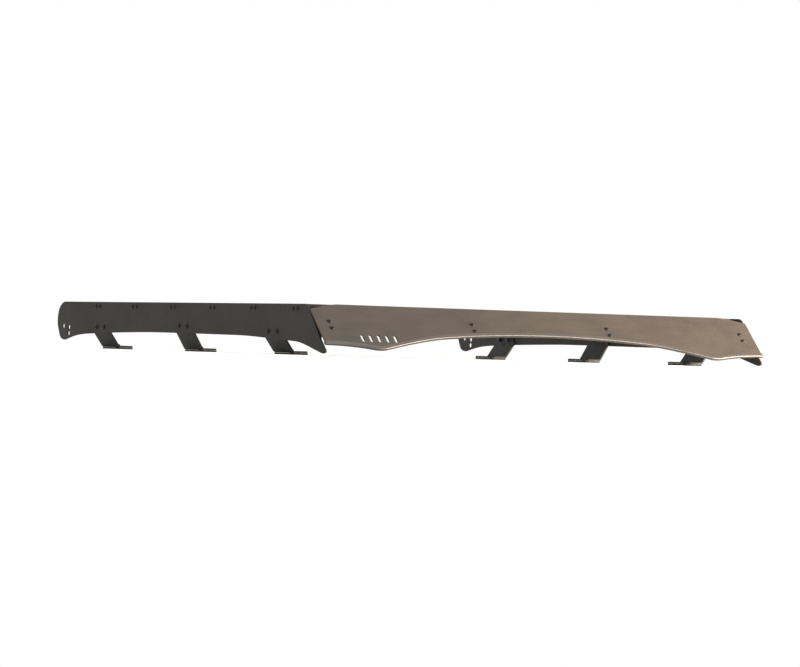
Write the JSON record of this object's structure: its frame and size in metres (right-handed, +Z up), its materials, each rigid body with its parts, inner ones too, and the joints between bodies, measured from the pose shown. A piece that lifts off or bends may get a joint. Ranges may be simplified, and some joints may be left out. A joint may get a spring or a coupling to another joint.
{
  "type": "roof rack",
  "caption": "Low platform roof rack for a pickup cab: plate side rails, slotted crossbars, a leaning front fairing with a rubber edge trim, and bolted feet on rubber pads.",
  "frame": {"origin": "on the surface that the pads stand on, under the middle of the whole rack", "axes": "+Y towards the rear of the vehicle, along the side rails; +X towards the vehicle's left; +Z up"},
  "size_m": [1.453, 1.7392, 0.1421],
  "materials": {
    "rail_coat": "matte black textured powder coat",
    "fairing_coat": "matte black textured powder coat, warm and dusty on its sunny face",
    "bracket_coat": "matte black powder coat",
    "crossbar_metal": "black anodised extrusion with fine lengthwise lines",
    "black_fasteners": "black oxide",
    "edge_rubber": "smooth black extruded rubber, slightly glossy",
    "pad_rubber": "matt black rubber"
  },
  "bodies": {
    "root": {"side_rail_left": "rail_coat", "side_rail_right": "rail_coat", "front_fairing": "fairing_coat", "fairing_edge_trim": "edge_rubber", "crossbar_1": "crossbar_metal", "crossbar_2": "crossbar_metal", "crossbar_3": "crossbar_metal", "crossbar_4": "crossbar_metal", "crossbar_5": "crossbar_metal", "crossbar_6": "crossbar_metal", "fairing_corner_bracket_left": "bracket_coat", "fairing_reach_bracket_left": "bracket_coat", "fairing_corner_bracket_right": "bracket_coat", "fairing_reach_bracket_right": "bracket_coat", "foot_front_left": "bracket_coat", "foot_pad_front_left": "pad_rubber", "foot_bolt_front_left_a": "black_fasteners", "foot_bolt_front_left_b": "black_fasteners", "roof_bolt_front_left": "black_fasteners", "foot_middle_left": "bracket_coat", "foot_pad_middle_left": "pad_rubber", "foot_bolt_middle_left_a": "black_fasteners", "foot_bolt_middle_left_b": "black_fasteners", "roof_bolt_middle_left": "black_fasteners", "foot_rear_left": "bracket_coat", "foot_pad_rear_left": "pad_rubber", "foot_bolt_rear_left_a": "black_fasteners", "foot_bolt_rear_left_b": "black_fasteners", "roof_bolt_rear_left": "black_fasteners", "fairing_bolt_outer_left_upper": "black_fasteners", "fairing_nut_outer_left_upper": "black_fasteners", "fairing_bolt_outer_left_lower": "black_fasteners", "fairing_nut_outer_left_lower": "black_fasteners", "fairing_bolt_inner_left_upper": "black_fasteners", "fairing_nut_inner_left_upper": "black_fasteners", "fairing_bolt_inner_left_lower": "black_fasteners", "fairing_nut_inner_left_lower": "black_fasteners", "foot_front_right": "bracket_coat", "foot_pad_front_right": "pad_rubber", "foot_bolt_front_right_a": "black_fasteners", "foot_bolt_front_right_b": "black_fasteners", "roof_bolt_front_right": "black_fasteners", "foot_middle_right": "bracket_coat", "foot_pad_middle_right": "pad_rubber", "foot_bolt_middle_right_a": "black_fasteners", "foot_bolt_middle_right_b": "black_fasteners", "roof_bolt_middle_right": "black_fasteners", "foot_rear_right": "bracket_coat", "foot_pad_rear_right": "pad_rubber", "foot_bolt_rear_right_a": "black_fasteners", "foot_bolt_rear_right_b": "black_fasteners", "roof_bolt_rear_right": "black_fasteners", "fairing_bolt_outer_right_upper": "black_fasteners", "fairing_nut_outer_right_upper": "black_fasteners", "fairing_bolt_outer_right_lower": "black_fasteners", "fairing_nut_outer_right_lower": "black_fasteners", "fairing_bolt_inner_right_upper": "black_fasteners", "fairing_nut_inner_right_upper": "black_fasteners", "fairing_bolt_inner_right_lower": "black_fasteners", "fairing_nut_inner_right_lower": "black_fasteners"}
  },
  "joints": []
}
